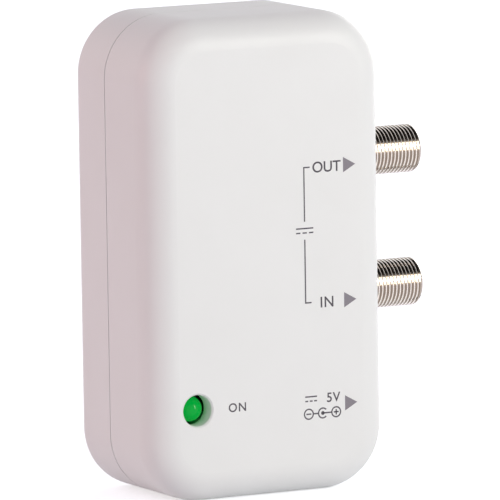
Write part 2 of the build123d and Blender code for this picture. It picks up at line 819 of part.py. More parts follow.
# The amplifier chip, in the input half of the shield, with two flat leads on each side
with BuildPart() as amplifier_chip:
    with BuildSketch(across(board_front_y)):
        with Locations(amplifier_place):
            Rectangle(amplifier_length, amplifier_width)
    extrude(amount=amplifier_thickness)
    with BuildSketch(across(board_front_y)):
        with Locations(amplifier_place):
            with GridLocations(amplifier_lead_pitch, 0, amplifier_lead_pairs, 1):
                Rectangle(amplifier_lead_width, amplifier_width + 2 * amplifier_lead_length)
    extrude(amount=amplifier_lead_thickness)
amplifier_chip.part.label = "amplifier_chip"
export_step(amplifier_chip.part, "parts/amplifier_chip.step")

# The chip capacitors, a row in each half of the shield
with BuildPart() as chip_capacitors:
    with BuildSketch(across(board_front_y)):
        for place in capacitor_row_places:
            with Locations(place):
                with GridLocations(chip_pitch, 0, chip_capacitor_count, 1):
                    Rectangle(chip_capacitor_width, chip_capacitor_length)
    extrude(amount=chip_capacitor_thickness)
chip_capacitors.part.label = "chip_capacitors"
export_step(chip_capacitors.part, "parts/chip_capacitors.step")

# The chip resistors, a row in each half of the shield
with BuildPart() as chip_resistors:
    with BuildSketch(across(board_front_y)):
        for place in resistor_row_places:
            with Locations(place):
                with GridLocations(chip_pitch, 0, chip_resistor_count, 1):
                    Rectangle(chip_resistor_width, chip_resistor_length)
    extrude(amount=chip_resistor_thickness)
chip_resistors.part.label = "chip_resistors"
export_step(chip_resistors.part, "parts/chip_resistors.step")

# The air-wound tuning coils, which lie on the board under the holes of the lid
with BuildPart() as air_coils:
    for x, z in coil_places:
        with BuildSketch(beside(x - coil_length / 2)):
            with Locations((board_front_y - coil_radius, z)):
                Circle(coil_radius)
                Circle(coil_radius - coil_wire, mode=Mode.SUBTRACT)
        extrude(amount=coil_length)
air_coils.part.label = "air_coils"
export_step(air_coils.part, "parts/air_coils.step")

# The matching transformer's two-hole ferrite core
with BuildPart() as ferrite_core:
    with BuildSketch(Plane.XY.offset(core_place[1] - core_height / 2)):
        with Locations((core_place[0], board_front_y - core_depth / 2)):
            Rectangle(core_length, core_depth)
            with GridLocations(core_hole_pitch, 0, 2, 1):
                Circle(core_hole_radius, mode=Mode.SUBTRACT)
    extrude(amount=core_height)
ferrite_core.part.label = "ferrite_core"
export_step(ferrite_core.part, "parts/ferrite_core.step")

# The transformer's winding, a flat band of wire through both holes of the core
with BuildPart() as ferrite_winding:
    with BuildSketch(across(board_front_y - (core_depth - core_wire_band) / 2)):
        with Locations(core_place):
            Rectangle(core_hole_pitch + core_wire_depth, loop_bore_height + 2 * core_wire_depth)
            Rectangle(core_hole_pitch - core_wire_depth, loop_bore_height, mode=Mode.SUBTRACT)
    extrude(amount=core_wire_band)
ferrite_winding.part.label = "ferrite_winding"
export_step(ferrite_winding.part, "parts/ferrite_winding.step")
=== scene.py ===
import math

import bmesh
import bpy
from mathutils import Matrix, Vector


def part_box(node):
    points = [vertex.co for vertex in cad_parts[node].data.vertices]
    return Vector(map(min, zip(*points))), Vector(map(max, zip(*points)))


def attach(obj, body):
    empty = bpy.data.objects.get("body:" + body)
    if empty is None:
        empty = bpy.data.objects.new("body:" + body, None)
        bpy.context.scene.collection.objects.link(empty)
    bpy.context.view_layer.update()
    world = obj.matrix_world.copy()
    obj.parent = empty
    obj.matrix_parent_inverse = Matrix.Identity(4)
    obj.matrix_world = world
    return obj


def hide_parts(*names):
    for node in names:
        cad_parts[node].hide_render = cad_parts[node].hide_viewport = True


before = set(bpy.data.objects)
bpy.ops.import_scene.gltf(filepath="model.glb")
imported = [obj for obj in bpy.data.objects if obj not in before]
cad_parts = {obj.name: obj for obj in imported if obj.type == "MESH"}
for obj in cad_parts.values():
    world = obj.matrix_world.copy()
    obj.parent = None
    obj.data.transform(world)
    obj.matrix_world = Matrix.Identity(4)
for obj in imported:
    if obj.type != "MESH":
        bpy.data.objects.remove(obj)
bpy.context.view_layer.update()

# Case of two injection-moulded ABS shells, front and rear, screwed together at a seam round the sides. White
# ABS from a finely spark-eroded mould is satin: a faint grain softens the highlights along the rounded edges.
mm = 0.001
abs_cloud = 18 * mm
abs_grain = 0.25 * mm


def linear(code):
    """Turns an sRGB hex colour into the linear colour that shaders and lamps take."""
    shares = [int(code[start:start + 2], 16) / 255 for start in (1, 3, 5)]
    return [s / 12.92 if s <= 0.04045 else ((s + 0.055) / 1.055) ** 2.4 for s in shares] + [1.0]


def add_node(tree, kind, values=None, links=None, **settings):
    """Adds one node with its settings, the values of its inputs, and the outputs that feed other inputs."""
    node = tree.nodes.new(kind)
    for name, value in settings.items():
        setattr(node, name, value)
    for socket, value in (values or {}).items():
        node.inputs[socket].default_value = value
    for socket, source in (links or {}).items():
        tree.links.new(source, node.inputs[socket])
    return node


def start_material(name):
    """A new material with an empty node tree, and the coordinates of the object that wears it."""
    material = bpy.data.materials.new(name)
    material.use_nodes = True
    material.node_tree.nodes.clear()
    place = add_node(material.node_tree, "ShaderNodeTexCoord").outputs["Object"]
    return material, material.node_tree, place


def add_two_tone(tree, place, patch, detail, first, second):
    """Lets the tint wander between two colours, in patches of a real size. Returns the share and the tint."""
    noise = add_node(tree, "ShaderNodeTexNoise", {"Scale": 1 / patch, "Detail": detail}, {"Vector": place})
    share = noise.outputs[0]
    colours = {6: linear(first), 7: linear(second)}
    tint = add_node(tree, "ShaderNodeMix", colours, {0: share}, data_type="RGBA")
    return share, tint.outputs[2]


def finish_material(material, shader, *nodes):
    """Ends the material in its shader, and gives it to the CAD nodes that wear it."""
    add_node(material.node_tree, "ShaderNodeOutputMaterial", links={"Surface": shader.outputs[0]})
    for node in nodes:
        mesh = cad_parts[node].data
        mesh.materials.clear()
        mesh.materials.append(material)


white_abs, tree, place = start_material("white_abs_spark_eroded")
cloud, tint = add_two_tone(tree, place, abs_cloud, 3.0, "#F0F0EE", "#ECECE9")
sheen = add_node(tree, "ShaderNodeMapRange", {"To Min": 0.40, "To Max": 0.50}, {"Value": cloud})
# The real grain is about 0.05 mm, too fine to show, so it is drawn five times as coarse and very shallow
grain = add_node(tree, "ShaderNodeTexNoise", {"Scale": 1 / abs_grain, "Detail": 2.0}, {"Vector": place})
relief = {"Strength": 0.25, "Distance": 0.01 * mm}
bump = add_node(tree, "ShaderNodeBump", relief, {"Height": grain.outputs[0]})
shader = add_node(
    tree,
    "ShaderNodeBsdfPrincipled",
    {"IOR": 1.54},
    {"Base Color": tint, "Roughness": sheen.outputs[0], "Normal": bump.outputs[0]},
)
finish_material(white_abs, shader, "front_cover", "rear_cover")

# Signs on the front, pad-printed with the arrows in mid grey and the rest in dark grey: arrows to the ports
# and the jack, the line that says that the supply passes between the ports, and the usual signs for direct
# current and for the plug's polarity. The ink lies in a matt film on the plastic.
front_y = -16.0
ink_film = 0.02
ink_proud = 0.012
ink_speck = 0.35 * mm
stroke = 0.27
arc_step = 9
letter_capital = 0.69
letter_swell = 0.03
upright = Matrix.Rotation(math.radians(90), 4, "X")


def end_shape(shape, name):
    """Ends a shape as a mesh."""
    mesh = bpy.data.meshes.new(name)
    shape.to_mesh(mesh)
    shape.free()
    return mesh


def add_object(name, data):
    """Puts an object into the scene."""
    holder = bpy.data.objects.new(name, data)
    bpy.context.scene.collection.objects.link(holder)
    return holder


def finish_piece(shape, name, material, slot_name, *nodes, smooth=None):
    """Turns a shape in mm into a piece on the case. Smooth is its sharpest soft edge in degrees."""
    bmesh.ops.transform(shape, matrix=Matrix.Scale(mm, 4), verts=shape.verts)
    mesh = end_shape(shape, name)
    if smooth is not None:
        mesh.shade_smooth()
        mesh.set_sharp_from_angle(angle=math.radians(smooth))
    mesh.materials.append(material)
    piece = add_object(name, mesh)
    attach(piece, "root")
    if nodes:
        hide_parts(*nodes)
    return piece


def add_bar(shape, left, right, bottom, top):
    """A flat printed bar on the front."""
    middle = Matrix.Translation(((left + right) / 2, front_y, (bottom + top) / 2))
    size = Matrix.Diagonal((right - left, top - bottom, 1, 1))
    bmesh.ops.create_grid(shape, x_segments=1, y_segments=1, size=0.5, matrix=middle @ upright @ size)


def add_arc(shape, x, z, radius, start=0.0, sweep=360.0):
    """A printed ring, or the part of it from the start over the sweep, in degrees from the right upwards."""
    inner = shape.verts.new((x + radius - stroke / 2, front_y, z))
    outer = shape.verts.new((x + radius + stroke / 2, front_y, z))
    edge = shape.edges.new((inner, outer))
    centre = (x, front_y, z)
    turn = Matrix.Rotation(-math.radians(start), 3, "Y")
    bmesh.ops.rotate(shape, cent=centre, matrix=turn, verts=[inner, outer])
    bmesh.ops.spin(
        shape,
        geom=[inner, outer, edge],
        cent=centre,
        axis=(0, -1, 0),
        angle=math.radians(sweep),
        steps=int(sweep / arc_step),
        use_merge=sweep == 360.0,
    )


def add_disc(shape, x, z, radius, sides, stretch=1.0):
    """A filled printed dot, or with three sides an arrow head that points to the right."""
    turned = upright @ Matrix.Rotation(math.radians(-90), 4, "Z")
    size = Matrix.Diagonal((stretch, 1, 1, 1))
    matrix = Matrix.Translation((x, front_y, z)) @ size @ turned
    bmesh.ops.create_circle(shape, cap_ends=True, segments=sides, radius=radius, matrix=matrix)


def add_words(shape, words, left, bottom, height, spacing):
    """Words in the plain built-in letters, as a flat print. The height is that of a capital."""
    letters = bpy.data.curves.new("letters", "FONT")
    letters.body = words
    letters.size = height / letter_capital
    letters.offset = letter_swell
    letters.space_character = spacing
    holder = add_object("letters", letters)
    bpy.context.view_layer.update()
    flat = bpy.data.meshes.new_from_object(holder)
    bpy.data.objects.remove(holder)
    flat.transform(Matrix.Translation((left, front_y, bottom)) @ upright)
    shape.from_mesh(flat)
    bpy.data.meshes.remove(flat)


signs = bmesh.new()
arrows = bmesh.new()
output_z = 64.07
input_z = 37.59
jack_z = 17.3
arrow_height = 3.0
arrow_length = 2.7
arrow_radius = arrow_height / 3**0.5
arrow_stretch = arrow_length / (1.5 * arrow_radius)
for base_x, z in ((16.35, output_z), (16.2, input_z), (16.1, jack_z)):
    add_disc(arrows, base_x + arrow_length / 3, z, arrow_radius, 3, arrow_stretch)
line_x = 7.7
tick_length = 1.3
gap_top = 53.5
gap_bottom = 50.0
add_bar(signs, line_x - stroke / 2, line_x + stroke / 2, gap_top, output_z)
add_bar(signs, line_x - stroke / 2, line_x + stroke / 2, input_z, gap_bottom)
for z in (output_z, input_z):
    add_bar(signs, line_x - stroke / 2, line_x + tick_length, z - stroke / 2, z + stroke / 2)
# The sign for direct current, a line over three dashes, in the gap of the line and beside the lowest arrow
dash_gap = 0.3
for left, z, width in ((line_x - 1.9, (gap_top + gap_bottom) / 2, 3.8), (7.3, 18.7, 2.6)):
    add_bar(signs, left, left + width, z + dash_gap, z + dash_gap + stroke)
    dash = width / 4
    for number in range(3):
        start = left + number * (width - dash) / 2
        add_bar(signs, start, start + dash, z - dash_gap - stroke, z - dash_gap)
# The polarity sign: a ring with a minus, an open ring with a dot, and a ring with a plus
sign_z = 15.72
ring = 0.97
mark = 0.55
dot = 0.38
dot_sides = 24
minus_x, middle_x, plus_x = 8.05, 11.15, 14.1
add_arc(signs, minus_x, sign_z, ring)
add_bar(signs, minus_x - mark, minus_x + mark, sign_z - stroke / 2, sign_z + stroke / 2)
add_arc(signs, middle_x, sign_z, ring, start=42, sweep=276)
add_disc(signs, middle_x, sign_z, dot, dot_sides)
add_arc(signs, plus_x, sign_z, ring)
add_bar(signs, plus_x - mark, plus_x + mark, sign_z - stroke / 2, sign_z + stroke / 2)
add_bar(signs, plus_x - stroke / 2, plus_x + stroke / 2, sign_z - mark, sign_z + mark)
add_bar(signs, minus_x + ring, middle_x - ring, sign_z - stroke / 2, sign_z + stroke / 2)
add_bar(signs, middle_x, plus_x - ring, sign_z - stroke / 2, sign_z + stroke / 2)
words_drop = 1.1
for words, left, bottom, height, spacing in (
    ("OUT", 9.5, output_z - words_drop, 2.05, 1.0),
    ("IN", 10.8, input_z - words_drop, 2.05, 1.1),
    ("5V", 12.0, 17.8, 1.8, 1.1),
    ("ON", -9.6, 17.6, 1.65, 1.15),
):
    add_words(signs, words, left, bottom, height, spacing)
for shape, name, ink_name, thick_ink, thin_ink in (
    (signs, "front_signs", "dark_grey_pad_print_ink", "#4B464D", "#59545B"),
    (arrows, "front_arrows", "mid_grey_pad_print_ink", "#817B82", "#8D878E"),
):
    bmesh.ops.recalc_face_normals(shape, faces=shape.faces)
    for face in shape.faces:
        if face.normal.y > 0:
            face.normal_flip()
    drawn = bmesh.ops.extrude_face_region(shape, geom=shape.faces[:])["geom"]
    moved = [part for part in drawn if isinstance(part, bmesh.types.BMVert)]
    bmesh.ops.translate(shape, verts=moved, vec=(0, -ink_film, 0))
    bmesh.ops.translate(shape, verts=shape.verts[:], vec=(0, ink_film - ink_proud, 0))
    bmesh.ops.recalc_face_normals(shape, faces=shape.faces)
    ink, tree, place = start_material(ink_name)
    _, tint = add_two_tone(tree, place, ink_speck, 2.0, thick_ink, thin_ink)
    shader = add_node(tree, "ShaderNodeBsdfPrincipled", {"Roughness": 0.6}, {"Base Color": tint})
    finish_material(ink, shader)
    finish_piece(shape, name, ink, "black_plastic")

# Output and input ports, turned from brass bar and nickel plated, with a rolled 3/8-32 thread for the nut of
# the plug. The plate is bright and a little warm, and the thread breaks its reflections into fine rings.
port_tip_x = 40.95
thread_start_x = 25.6
crest_radius = 4.75
thread_pitch = 25.4 / 32
thread_depth = 0.34
crest_flat = 0.38
crest_round = 0.04
turn_steps = 64
rim_round = 0.9
rim_steps = 5
bore_radius = 3.05
bore_bevel = 0.2
between_walls = 3.6
cut_x = 25.0
cut_snap = 1e-5
plane_reach = 0.01
weld_reach = 1e-4
nickel_haze = 2.5 * mm
# Plain parts take a rise of 0.88, which gives them part of the painted flank highlight in the nickel's
# colour.
plain_rise = 0.88


def from_axis(vert):
    """How far a vertex lies from the x axis."""
    return math.hypot(vert.co.y, vert.co.z)


def cut_across(shape, x, side=1, clear=True):
    """Cuts the shape in the plane at x, and clears what lies beyond it on that side."""
    parts = shape.verts[:] + shape.edges[:] + shape.faces[:]
    plane = {"plane_co": (x, 0, 0), "plane_no": (side, 0, 0)}
    bmesh.ops.bisect_plane(shape, geom=parts, dist=cut_snap, clear_outer=clear, **plane)


def add_thread(shape, crest, depth, pitch, flat, rounding, start, end, steps):
    """Sweeps one pitch of a 60 degree thread round the x axis, right-handed, and trims it at both ends."""
    root = crest - depth
    flank = depth * math.tan(math.radians(60 / 2))
    rest = (pitch - flat - 2 * flank) / 2
    outline = (
        (0, root),
        (rest, root),
        (rest + flank - rounding / 2, crest - rounding),
        (rest + flank + rounding / 2, crest),
        (rest + flank + flat - rounding / 2, crest),
        (rest + flank + flat + rounding / 2, crest - rounding),
        (pitch - rest, root),
        (pitch, root),
    )
    first = start - 1.5 * pitch
    verts = [shape.verts.new((first + x, -radius, 0)) for x, radius in outline]
    edges = [shape.edges.new(pair) for pair in zip(verts, verts[1:])]
    turns = math.ceil((end - first) / pitch) + 1
    spin = {"cent": (0, 0, 0), "axis": (1, 0, 0)}
    climb = (pitch / steps, 0, 0)
    bmesh.ops.spin(shape, geom=verts + edges, dvec=climb, angle=math.radians(360), steps=steps, **spin)
    turn = shape.verts[:] + shape.edges[:] + shape.faces[:]
    bmesh.ops.spin(shape, geom=turn, dvec=(pitch, 0, 0), angle=0, steps=turns - 1, use_duplicate=True, **spin)
    bmesh.ops.remove_doubles(shape, verts=shape.verts, dist=pitch / 1000)
    cut_across(shape, start, side=-1)
    cut_across(shape, end)


def open_rim(shape, x, outer=None):
    """The free edges in the plane at x, all of them, or only those of the outer or of the inner wall."""
    rim = []
    for edge in shape.edges:
        if edge.is_boundary and all(abs(end.co.x - x) < plane_reach for end in edge.verts):
            if outer is None or outer == (from_axis(edge.verts[0]) > between_walls):
                rim.append(edge)
    return rim


def draw_rim(shape, rim, x, radius):
    """Draws the edges of a rim on to a circle at x, and returns the edges there."""
    drawn = bmesh.ops.extrude_edge_only(shape, edges=rim)["geom"]
    for vert in [part for part in drawn if isinstance(part, bmesh.types.BMVert)]:
        across = radius / from_axis(vert)
        vert.co = (x, vert.co.y * across, vert.co.z * across)
    return [part for part in drawn if isinstance(part, bmesh.types.BMEdge)]


def add_node_copy(shape, node, centre):
    """Adds a merged copy of a CAD node in mm, without its stored normals, its centre moved to the origin."""
    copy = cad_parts[node].data.copy()
    stored_normals = copy.attributes.get("custom_normal")
    if stored_normals:
        copy.attributes.remove(stored_normals)
    copy.transform(Matrix.Translation(-Vector(centre)) @ Matrix.Scale(1 / mm, 4))
    shape.from_mesh(copy)
    bpy.data.meshes.remove(copy)
    bmesh.ops.remove_doubles(shape, verts=shape.verts, dist=weld_reach)


nickel, tree, place = start_material("nickel_plate_on_rolled_brass")
haze, tint = add_two_tone(tree, place, nickel_haze, 4.0, "#8C7D70", "#817264")
# The thread's flanks are painted far lighter than its crests, a painted highlight, and the bottoms of the
# grooves are painted dark, a painted shade; the plain parts get part of the painted highlight. The rise is 0
# at the bottom of a groove and 1 on a crest.
rise = add_node(tree, "ShaderNodeAttribute", attribute_name="thread_rise").outputs["Fac"]
flank = add_node(tree, "ShaderNodeMapRange", {"From Min": 0.94, "From Max": 0.84}, {"Value": rise})
# Painted highlight: the flanks of the thread are lightened towards near white.
painted_flank_highlight = add_node(
    tree, "ShaderNodeMix", {7: linear("#F6F1EC")}, {0: flank.outputs[0], 6: tint}, data_type="RGBA"
)
# Painted shade: the bottoms of the grooves are darkened towards dark brown.
bottom = add_node(tree, "ShaderNodeMapRange", {"From Min": 0.2, "From Max": 0.02}, {"Value": rise})
painted_highlight_and_shade = add_node(
    tree,
    "ShaderNodeMix",
    {7: linear("#5F554D")},
    {0: bottom.outputs[0], 6: painted_flank_highlight.outputs[2]},
    data_type="RGBA",
)
gloss = add_node(tree, "ShaderNodeMapRange", {"To Min": 0.05, "To Max": 0.1}, {"Value": haze})
shader = add_node(
    tree,
    "ShaderNodeBsdfPrincipled",
    {"Metallic": 1.0},
    {"Base Color": painted_highlight_and_shade.outputs[2], "Roughness": gloss.outputs[0]},
)
finish_material(nickel, shader)

for name in ("output", "input"):
    low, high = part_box(f"{name}_connector")
    centre = (0, (low.y + high.y) / 2 / mm, (low.z + high.z) / 2 / mm)
    shape = bmesh.new()
    add_node_copy(shape, f"{name}_connector", centre)
    cut_across(shape, cut_x)
    thread = bmesh.new()
    add_thread(
        thread,
        crest_radius,
        thread_depth,
        thread_pitch,
        crest_flat,
        crest_round,
        thread_start_x,
        port_tip_x,
        turn_steps,
    )
    # The rim at the tip is turned round over the last of the thread
    rim_x = port_tip_x - rim_round
    for step in range(rim_steps):
        cut_across(thread, rim_x + rim_round * math.sin(math.radians(90 * step / rim_steps)), clear=False)
    for vert in thread.verts:
        if vert.co.x > rim_x:
            share = min(1, (vert.co.x - rim_x) / rim_round)
            limit = crest_radius - rim_round * (1 - (1 - share**2) ** 0.5)
            radius = from_axis(vert)
            if radius > limit:
                vert.co.y *= limit / radius
                vert.co.z *= limit / radius
    threaded = end_shape(thread, "thread")
    shape.from_mesh(threaded)
    bpy.data.meshes.remove(threaded)
    bmesh.ops.bridge_loops(shape, edges=open_rim(shape, cut_x, True) + open_rim(shape, thread_start_x))
    wall = open_rim(shape, cut_x, False)
    wall = draw_rim(shape, wall, port_tip_x - bore_bevel, bore_radius)
    draw_rim(shape, wall, port_tip_x, bore_radius + bore_bevel)
    bmesh.ops.bridge_loops(shape, edges=open_rim(shape, port_tip_x))
    bmesh.ops.recalc_face_normals(shape, faces=shape.faces)
    rise_layer = shape.verts.layers.float.new("thread_rise")
    for vert in shape.verts:
        radius = from_axis(vert)
        on_thread = thread_start_x < vert.co.x < rim_x and radius > between_walls
        vert[rise_layer] = (radius - crest_radius) / thread_depth + 1 if on_thread else plain_rise
    bmesh.ops.translate(shape, verts=shape.verts, vec=centre)
    finish_piece(shape, f"{name}_port_body", nickel, "nickel_plate", f"{name}_connector", smooth=40)

# Insulators of the ports, moulded in natural polyethylene and pressed into the bore. It is milky and slightly
# waxy, so light sinks in a little and its edges look soft.
milk = 1.5 * mm
pale_plastic, tree, place = start_material("natural_polyethylene")
_, tint = add_two_tone(tree, place, milk, 3.0, "#F1F0E8", "#E6E4DA")
shader = add_node(
    tree,
    "ShaderNodeBsdfPrincipled",
    {"Roughness": 0.45, "IOR": 1.51, "Subsurface Weight": 0.2, "Subsurface Scale": 0.5 * mm},
    {"Base Color": tint},
)
finish_material(pale_plastic, shader, "output_insulator", "input_insulator")

# Sprung contacts of the ports and the jack, stamped in brass and tinned. Tin is paler than nickel and dull
# where it has wetted the metal unevenly.
tin_patch = 0.8 * mm
tin, tree, place = start_material("tinned_brass")
wet = add_node(tree, "ShaderNodeTexNoise", {"Scale": 1 / tin_patch, "Detail": 3.0}, {"Vector": place})
gloss = add_node(tree, "ShaderNodeMapRange", {"To Min": 0.22, "To Max": 0.4}, {"Value": wet.outputs[0]})
shader = add_node(
    tree,
    "ShaderNodeBsdfPrincipled",
    {"Base Color": linear("#CFCDC4"), "Metallic": 1.0},
    {"Roughness": gloss.outputs[0]},
)
finish_material(tin, shader, "output_contact", "input_contact", "dc_jack_pin", "dc_jack_spring")

# The power lamp, cast in green-tinted epoxy that scatters its own light, so the dome looks evenly green with
# one small clear highlight, and its glow colours the wall of the hole that it stands in.
epoxy_swirl = 1.2 * mm
lamp_epoxy, tree, place = start_material("diffused_green_epoxy")
_, tint = add_two_tone(tree, place, epoxy_swirl, 2.0, "#00802E", "#008A34")
shader = add_node(
    tree,
    "ShaderNodeBsdfPrincipled",
    {
        "Roughness": 0.07,
        "IOR": 1.54,
        "Specular IOR Level": 0.12,
        "Emission Color": linear("#00FF58"),
        "Emission Strength": 0.19,
    },
    {"Base Color": tint},
)
finish_material(lamp_epoxy, shader, "power_led")

# The jack's body, the lamp's spacer and the chips, moulded in black plastic. The fine grain of the mould
# keeps them from shining.
mould_grain = 0.2 * mm
black_plastic, tree, place = start_material("black_moulded_plastic")
grain, tint = add_two_tone(tree, place, mould_grain, 2.0, "#1C1C1D", "#242425")
gloss = add_node(tree, "ShaderNodeMapRange", {"To Min": 0.4, "To Max": 0.55}, {"Value": grain})
bump = add_node(tree, "ShaderNodeBump", {"Strength": 0.3, "Distance": 0.01 * mm}, {"Height": grain})
shader = add_node(
    tree,
    "ShaderNodeBsdfPrincipled",
    {"IOR": 1.55},
    {"Base Color": tint, "Roughness": gloss.outputs[0], "Normal": bump.outputs[0]},
)
finish_material(black_plastic, shader, "dc_jack_body", "led_spacer", "voltage_regulator", "amplifier_chip")

# Case screws and the lamp's legs, in steel with a bright zinc plate that has a faint blue cast. The screws
# are headed and rolled from wire: a pan head with a cross recess, and a coarse thread that cuts its own way
# into the pillars.
screw_length = 10.0
screw_crest = 1.35
screw_core = 1.05
screw_pitch = 1.0
screw_flat = 0.1
screw_round = 0.02
screw_steps = 32
screw_neck = 0.5
neck_taper = 0.2
screw_tip = 0.4
head_radius = 2.3
head_height = 1.7
head_side = 0.7
head_flat = 1.2
head_steps = 6
fan_rim = 0.1
recess_width = 0.7
recess_span = 2.5
recess_depth = 1.1
recess_taper = 0.6
zinc_bloom = 1.0 * mm
zinc, tree, place = start_material("bright_zinc_plate_on_steel")
bloom, tint = add_two_tone(tree, place, zinc_bloom, 3.0, "#C6CBD0", "#B7BBBE")
gloss = add_node(tree, "ShaderNodeMapRange", {"To Min": 0.2, "To Max": 0.36}, {"Value": bloom})
shader = add_node(
    tree,
    "ShaderNodeBsdfPrincipled",
    {"Metallic": 1.0},
    {"Base Color": tint, "Roughness": gloss.outputs[0]},
)
finish_material(zinc, shader, "led_leads")


def close_end(shape, rim, x):
    """Closes a round end with a fan, because one large face would be cut differently in each run."""
    inner_rim = draw_rim(shape, rim, x, fan_rim)
    bmesh.ops.collapse(shape, edges=inner_rim)


screw_end = screw_length - screw_tip
shape = bmesh.new()
add_thread(
    shape,
    screw_crest,
    screw_crest - screw_core,
    screw_pitch,
    screw_flat,
    screw_round,
    screw_neck,
    screw_end,
    screw_steps,
)
rim = draw_rim(shape, open_rim(shape, screw_end), screw_length, screw_core - screw_tip / 2)
close_end(shape, rim, screw_length)
rim = open_rim(shape, screw_neck)
for x, radius in (
    (screw_neck - neck_taper, screw_core),
    (0, screw_core),
    (0, head_radius),
    (-head_side, head_radius),
):
    rim = draw_rim(shape, rim, x, radius)
for step in range(1, head_steps + 1):
    slope = math.radians(90 * step / head_steps)
    x = -head_side - (head_height - head_side) * math.sin(slope)
    rim = draw_rim(shape, rim, x, head_flat + (head_radius - head_flat) * math.cos(slope))
close_end(shape, rim, -head_height)
bmesh.ops.recalc_face_normals(shape, faces=shape.faces)
screw = add_object("screw_blank", end_shape(shape, "screw_blank"))
# The cross recess is cut by two blocks that taper towards its bottom
helpers = [screw]
for width, span in ((recess_width, recess_span), (recess_span, recess_width)):
    shape = bmesh.new()
    size = Matrix.Diagonal((2 * recess_depth, width, span, 1))
    bmesh.ops.create_cube(shape, size=1, matrix=Matrix.Translation((-head_height, 0, 0)) @ size)
    for vert in shape.verts:
        if vert.co.x > -head_height:
            vert.co.y *= recess_taper
            vert.co.z *= recess_taper
    block = add_object("recess_block", end_shape(shape, "recess_block"))
    helpers.append(block)
    screw.modifiers.new("recess", "BOOLEAN").object = block
bpy.context.view_layer.update()
cut_screw = bpy.data.meshes.new_from_object(screw.evaluated_get(bpy.context.evaluated_depsgraph_get()))
for helper in helpers:
    bpy.data.objects.remove(helper)
low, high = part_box("case_screws")
pointing_in = Matrix.Rotation(math.radians(-90), 4, "Z")
shape = bmesh.new()
for z in (low.z / mm + head_radius, high.z / mm - head_radius):
    placed = cut_screw.copy()
    placed.transform(Matrix.Translation((0, high.y / mm - head_height, z)) @ pointing_in)
    shape.from_mesh(placed)
    bpy.data.meshes.remove(placed)
finish_piece(shape, "cross_recess_screws", zinc, "zinc_steel", "case_screws", smooth=35)

# Shield round the signal circuit, folded from tinplate and soldered to the board. Rolling leaves it streaked
# along its length.
streak_size = 1 * mm
streak_length = 20 * mm
tinplate, tree, place = start_material("rolled_tinplate")
along = {"Scale": (1 / streak_size, 1 / streak_size, 1 / streak_length)}
drawn = add_node(tree, "ShaderNodeMapping", along, {"Vector": place})
streak = add_node(tree, "ShaderNodeTexNoise", {"Scale": 1.5, "Detail": 4.0}, {"Vector": drawn.outputs[0]})
gloss = add_node(tree, "ShaderNodeMapRange", {"To Min": 0.25, "To Max": 0.42}, {"Value": streak.outputs[0]})
shader = add_node(
    tree,
    "ShaderNodeBsdfPrincipled",
    {"Base Color": linear("#C3C2BE"), "Metallic": 1.0},
    {"Roughness": gloss.outputs[0]},
)
finish_material(tinplate, shader, "shield_frame", "shield_partition", "shield_lid")

# Main board of glass cloth and resin under green solder mask. The mask looks lighter where copper lies
# under it.
copper_area = 5 * mm
board_mask, tree, place = start_material("green_solder_mask_on_glass_board")
copper = add_node(
    tree, "ShaderNodeTexVoronoi", {"Scale": 1 / copper_area}, {"Vector": place}, distance="MANHATTAN"
)
area = add_node(tree, "ShaderNodeMapRange", {"From Min": 0.3, "From Max": 0.34}, {"Value": copper.outputs[0]})
colours = {6: linear("#1C6B3E"), 7: linear("#12502D")}
tint = add_node(tree, "ShaderNodeMix", colours, {0: area.outputs[0]}, data_type="RGBA")
shader = add_node(tree, "ShaderNodeBsdfPrincipled", {"Roughness": 0.3}, {"Base Color": tint.outputs[2]})
finish_material(board_mask, shader, "main_board")

# Smoothing capacitors, aluminium cans in a dark vinyl sleeve. It is shrunk on with heat, which leaves it
# tight and glossy.
sleeve_patch = 1.5 * mm
sleeve_vinyl, tree, place = start_material("shrunk_vinyl_sleeve")
_, tint = add_two_tone(tree, place, sleeve_patch, 2.0, "#1F2138", "#262844")
shader = add_node(tree, "ShaderNodeBsdfPrincipled", {"Roughness": 0.22}, {"Base Color": tint})
finish_material(sleeve_vinyl, shader, "electrolytic_capacitors")

# Cores of the choke and of the transformer, pressed and sintered in ferrite. It is dark and matt with a fine
# speckle.
ferrite_speckle = 0.15 * mm
ferrite, tree, place = start_material("sintered_ferrite")
_, tint = add_two_tone(tree, place, ferrite_speckle, 2.0, "#2B2A2B", "#3B393A")
shader = add_node(tree, "ShaderNodeBsdfPrincipled", {"Roughness": 0.7}, {"Base Color": tint})
finish_material(ferrite, shader, "choke_core", "ferrite_core")

# Windings and tuning coils of enamelled copper wire, wound round a pin or a core. The enamel is a thin clear
# coat that deepens the copper.
wire_sides = 8
wire_turn_steps = 24
wire_patch = 0.6 * mm
enamel, tree, place = start_material("enamelled_copper_wire")
_, tint = add_two_tone(tree, place, wire_patch, 2.0, "#B0603A", "#9C4E2C")
shader = add_node(
    tree,
    "ShaderNodeBsdfPrincipled",
    {"Metallic": 1.0, "Roughness": 0.3, "Coat Weight": 0.6, "Coat Roughness": 0.08},
    {"Base Color": tint},
)
finish_material(enamel, shader)


def start_wire(shape, spot, heading, thickness):
    """Starts a wire with a closed round end, and returns the edges from which it goes on."""
    matrix = Matrix.Translation(spot) @ Vector(heading).to_track_quat("Z", "Y").to_matrix().to_4x4()
    made = bmesh.ops.create_circle(
        shape, cap_ends=True, segments=wire_sides, radius=thickness / 2, matrix=matrix
    )
    return list({edge for vert in made["verts"] for edge in vert.link_edges})


def lead_wire(shape, end, along):
    """Leads the wire straight on by the vector."""
    drawn = bmesh.ops.extrude_edge_only(shape, edges=end)["geom"]
    moved = [part for part in drawn if isinstance(part, bmesh.types.BMVert)]
    bmesh.ops.translate(shape, vec=along, verts=moved)
    return [part for part in drawn if isinstance(part, bmesh.types.BMEdge)]


